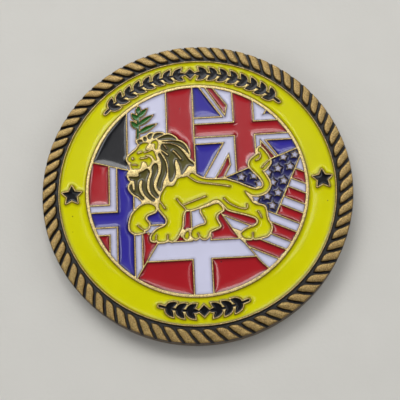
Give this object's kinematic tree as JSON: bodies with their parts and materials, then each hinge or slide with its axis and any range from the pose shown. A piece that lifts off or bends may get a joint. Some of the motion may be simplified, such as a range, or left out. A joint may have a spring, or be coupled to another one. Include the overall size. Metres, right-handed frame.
{
  "type": "challenge coin",
  "caption": "Round struck metal coin with a roped rim and coloured enamel fills set between raised lines: a striding lion over quartered flags, in a bright ring.",
  "frame": {"origin": "middle of the coin's back plane, which touches the highest points of the reverse rim", "axes": "+Z out of the front face, +Y towards the top of the design, +X towards its right"},
  "size_m": [0.0444, 0.0444, 0.003],
  "materials": {
    "bronze": "antique bronze plating, dark in the recesses and rubbed bright on the raised lines",
    "yellow_enamel": "glossy soft enamel, sunk between raised metal lines",
    "black_enamel": "glossy soft enamel, sunk between raised metal lines",
    "white_enamel": "glossy soft enamel, sunk between raised metal lines",
    "red_enamel": "glossy soft enamel, sunk between raised metal lines",
    "blue_enamel": "glossy soft enamel, sunk between raised metal lines",
    "navy_enamel": "glossy soft enamel, sunk between raised metal lines",
    "green_enamel": "glossy soft enamel, sunk between raised metal lines",
    "olive_enamel": "glossy soft enamel, sunk between raised metal lines"
  },
  "bodies": {
    "root": {"coin_body": "bronze", "ring_yellow_enamel": "yellow_enamel", "top_laurel_black_enamel": "black_enamel", "bottom_laurel_black_enamel": "black_enamel", "left_star_black_enamel": "black_enamel", "right_star_black_enamel": "black_enamel", "tricolour_flag_black_enamel": "black_enamel", "tricolour_flag_white_enamel": "white_enamel", "tricolour_flag_red_enamel": "red_enamel", "leaf_sprig_green_enamel": "green_enamel", "nordic_flag_red_enamel": "red_enamel", "nordic_flag_white_enamel": "white_enamel", "nordic_flag_blue_enamel": "blue_enamel", "white_cross_flag_red_enamel": "red_enamel", "white_cross_flag_white_enamel": "white_enamel", "union_flag_red_cross_enamel": "red_enamel", "union_flag_red_diagonal_enamel": "red_enamel", "union_flag_white_enamel": "white_enamel", "union_flag_blue_enamel": "blue_enamel", "striped_flag_navy_canton_enamel": "navy_enamel", "striped_flag_white_star_enamel": "white_enamel", "striped_flag_red_stripe_enamel": "red_enamel", "striped_flag_white_stripe_enamel": "white_enamel", "lion_body_enamel": "yellow_enamel", "lion_far_hind_leg_enamel": "yellow_enamel", "lion_raised_paw_enamel": "yellow_enamel", "lion_face_enamel": "yellow_enamel", "lion_ear_enamel": "yellow_enamel", "lion_crown_lock_enamel": "olive_enamel", "lion_mane_enamel": "olive_enamel", "lion_beard_enamel": "olive_enamel"}
  },
  "joints": []
}
